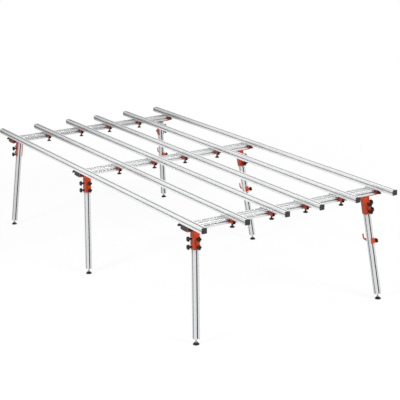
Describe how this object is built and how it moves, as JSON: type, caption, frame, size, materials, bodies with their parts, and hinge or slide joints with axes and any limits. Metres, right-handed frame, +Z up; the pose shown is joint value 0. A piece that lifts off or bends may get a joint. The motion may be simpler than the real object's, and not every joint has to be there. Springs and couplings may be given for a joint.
{
  "type": "tile work table",
  "caption": "Long tile work table: slotted aluminium rails clamped across crossbeams on splayed legs with levelling feet.",
  "frame": {"origin": "floor level below the centre of the table", "axes": "+X along the rails, towards the end nearest the camera; +Y across, towards the back legs with the hooks; +Z up"},
  "size_m": [3.2, 1.44, 0.776],
  "materials": {
    "aluminium": "anodised satin",
    "leg_aluminium": "anodised satin",
    "orange_paint": "powder coat",
    "black_plastic": "moulded"
  },
  "bodies": {
    "frame": {"crossbeam_1": "aluminium", "crossbeam_2": "aluminium", "crossbeam_3": "aluminium", "leg_socket_1_front": "orange_paint", "leg_socket_1_back": "orange_paint", "leg_socket_2_front": "orange_paint", "leg_socket_2_back": "orange_paint", "leg_socket_3_front": "orange_paint", "leg_socket_3_back": "orange_paint"},
    "rail_1": {"rail_1_near_half": "aluminium", "rail_1_far_half": "aluminium", "clamp_rail_1_crossbeam_1": "black_plastic", "clamp_rail_1_crossbeam_2": "black_plastic", "clamp_rail_1_crossbeam_3": "black_plastic"},
    "rail_2": {"rail_2_near_half": "aluminium", "rail_2_far_half": "aluminium", "clamp_rail_2_crossbeam_1": "black_plastic", "clamp_rail_2_crossbeam_2": "black_plastic", "clamp_rail_2_crossbeam_3": "black_plastic"},
    "rail_3": {"rail_3_near_half": "aluminium", "rail_3_far_half": "aluminium", "clamp_rail_3_crossbeam_1": "black_plastic", "clamp_rail_3_crossbeam_2": "black_plastic", "clamp_rail_3_crossbeam_3": "black_plastic"},
    "rail_4": {"rail_4_near_half": "aluminium", "rail_4_far_half": "aluminium", "clamp_rail_4_crossbeam_1": "black_plastic", "clamp_rail_4_crossbeam_2": "black_plastic", "clamp_rail_4_crossbeam_3": "black_plastic"},
    "rail_5": {"rail_5_near_half": "aluminium", "rail_5_far_half": "aluminium", "clamp_rail_5_crossbeam_1": "black_plastic", "clamp_rail_5_crossbeam_2": "black_plastic", "clamp_rail_5_crossbeam_3": "black_plastic"},
    "rail_6": {"rail_6_near_half": "aluminium", "rail_6_far_half": "aluminium", "clamp_rail_6_crossbeam_1": "black_plastic", "clamp_rail_6_crossbeam_2": "black_plastic", "clamp_rail_6_crossbeam_3": "black_plastic"},
    "leg_1_front": {"leg_1_front": "leg_aluminium"},
    "foot_1_front": {"foot_1_front": "black_plastic"},
    "leg_1_back": {"leg_1_back": "leg_aluminium"},
    "foot_1_back": {"foot_1_back": "black_plastic"},
    "hook_1": {"hook_1": "orange_paint", "hook_1_slot_nut": "black_plastic"},
    "hook_1_knob": {"hook_1_knob": "black_plastic"},
    "leg_2_front": {"leg_2_front": "leg_aluminium"},
    "foot_2_front": {"foot_2_front": "black_plastic"},
    "leg_2_back": {"leg_2_back": "leg_aluminium"},
    "foot_2_back": {"foot_2_back": "black_plastic"},
    "hook_2": {"hook_2": "orange_paint", "hook_2_slot_nut": "black_plastic"},
    "hook_2_knob": {"hook_2_knob": "black_plastic"},
    "leg_3_front": {"leg_3_front": "leg_aluminium"},
    "foot_3_front": {"foot_3_front": "black_plastic"},
    "leg_3_back": {"leg_3_back": "leg_aluminium"},
    "foot_3_back": {"foot_3_back": "black_plastic"},
    "hook_3": {"hook_3": "orange_paint", "hook_3_slot_nut": "black_plastic"},
    "hook_3_knob": {"hook_3_knob": "black_plastic"}
  },
  "joints": [
    {"name": "rail_1_slide", "type": "slide", "parent": "frame", "child": "rail_1", "axis": [0, 1, 0], "range_m": [0, 0.1]},
    {"name": "rail_2_slide", "type": "slide", "parent": "frame", "child": "rail_2", "axis": [0, 1, 0], "range_m": [-0.1, 0.1]},
    {"name": "rail_3_slide", "type": "slide", "parent": "frame", "child": "rail_3", "axis": [0, 1, 0], "range_m": [-0.1, 0.1]},
    {"name": "rail_4_slide", "type": "slide", "parent": "frame", "child": "rail_4", "axis": [0, 1, 0], "range_m": [-0.1, 0.1]},
    {"name": "rail_5_slide", "type": "slide", "parent": "frame", "child": "rail_5", "axis": [0, 1, 0], "range_m": [-0.1, 0.1]},
    {"name": "rail_6_slide", "type": "slide", "parent": "frame", "child": "rail_6", "axis": [0, 1, 0], "range_m": [-0.1, 0]},
    {"name": "leg_1_front_slide", "type": "slide", "parent": "frame", "child": "leg_1_front", "axis": [-0.1197, -0.0848, -0.9892], "range_m": [0, 0.06]},
    {"name": "foot_1_front_level", "type": "slide", "parent": "leg_1_front", "child": "foot_1_front", "axis": [-0.1197, -0.0848, -0.9892], "range_m": [-0.01, 0.025]},
    {"name": "leg_1_back_slide", "type": "slide", "parent": "frame", "child": "leg_1_back", "axis": [-0.1197, 0.0848, -0.9892], "range_m": [0, 0.06]},
    {"name": "foot_1_back_level", "type": "slide", "parent": "leg_1_back", "child": "foot_1_back", "axis": [-0.1197, 0.0848, -0.9892], "range_m": [-0.01, 0.025]},
    {"name": "hook_1_slide", "type": "slide", "parent": "leg_1_back", "child": "hook_1", "axis": [-0.1197, 0.0848, -0.9892], "range_m": [-0.15, 0.3]},
    {"name": "hook_1_knob_turn", "type": "hinge", "parent": "hook_1", "child": "hook_1_knob", "pos_m": [-1.43166, 0.66289, 0.38419], "axis": [0.0102, 0.9964, 0.0842], "range_deg": [0, 360]},
    {"name": "leg_2_front_slide", "type": "slide", "parent": "frame", "child": "leg_2_front", "axis": [0.1197, -0.0848, -0.9892], "range_m": [0, 0.06]},
    {"name": "foot_2_front_level", "type": "slide", "parent": "leg_2_front", "child": "foot_2_front", "axis": [0.1197, -0.0848, -0.9892], "range_m": [-0.01, 0.025]},
    {"name": "leg_2_back_slide", "type": "slide", "parent": "frame", "child": "leg_2_back", "axis": [0.1197, 0.0848, -0.9892], "range_m": [0, 0.06]},
    {"name": "foot_2_back_level", "type": "slide", "parent": "leg_2_back", "child": "foot_2_back", "axis": [0.1197, 0.0848, -0.9892], "range_m": [-0.01, 0.025]},
    {"name": "hook_2_slide", "type": "slide", "parent": "leg_2_back", "child": "hook_2", "axis": [0.1197, 0.0848, -0.9892], "range_m": [-0.15, 0.3]},
    {"name": "hook_2_knob_turn", "type": "hinge", "parent": "hook_2", "child": "hook_2_knob", "pos_m": [-0.10334, 0.66289, 0.38419], "axis": [-0.0102, 0.9964, 0.0842], "range_deg": [0, 360]},
    {"name": "leg_3_front_slide", "type": "slide", "parent": "frame", "child": "leg_3_front", "axis": [0.1197, -0.0848, -0.9892], "range_m": [0, 0.06]},
    {"name": "foot_3_front_level", "type": "slide", "parent": "leg_3_front", "child": "foot_3_front", "axis": [0.1197, -0.0848, -0.9892], "range_m": [-0.01, 0.025]},
    {"name": "leg_3_back_slide", "type": "slide", "parent": "frame", "child": "leg_3_back", "axis": [0.1197, 0.0848, -0.9892], "range_m": [0, 0.06]},
    {"name": "foot_3_back_level", "type": "slide", "parent": "leg_3_back", "child": "foot_3_back", "axis": [0.1197, 0.0848, -0.9892], "range_m": [-0.01, 0.025]},
    {"name": "hook_3_slide", "type": "slide", "parent": "leg_3_back", "child": "hook_3", "axis": [0.1197, 0.0848, -0.9892], "range_m": [-0.15, 0.3]},
    {"name": "hook_3_knob_turn", "type": "hinge", "parent": "hook_3", "child": "hook_3_knob", "pos_m": [1.41266, 0.66289, 0.38419], "axis": [-0.0102, 0.9964, 0.0842], "range_deg": [0, 360]}
  ]
}
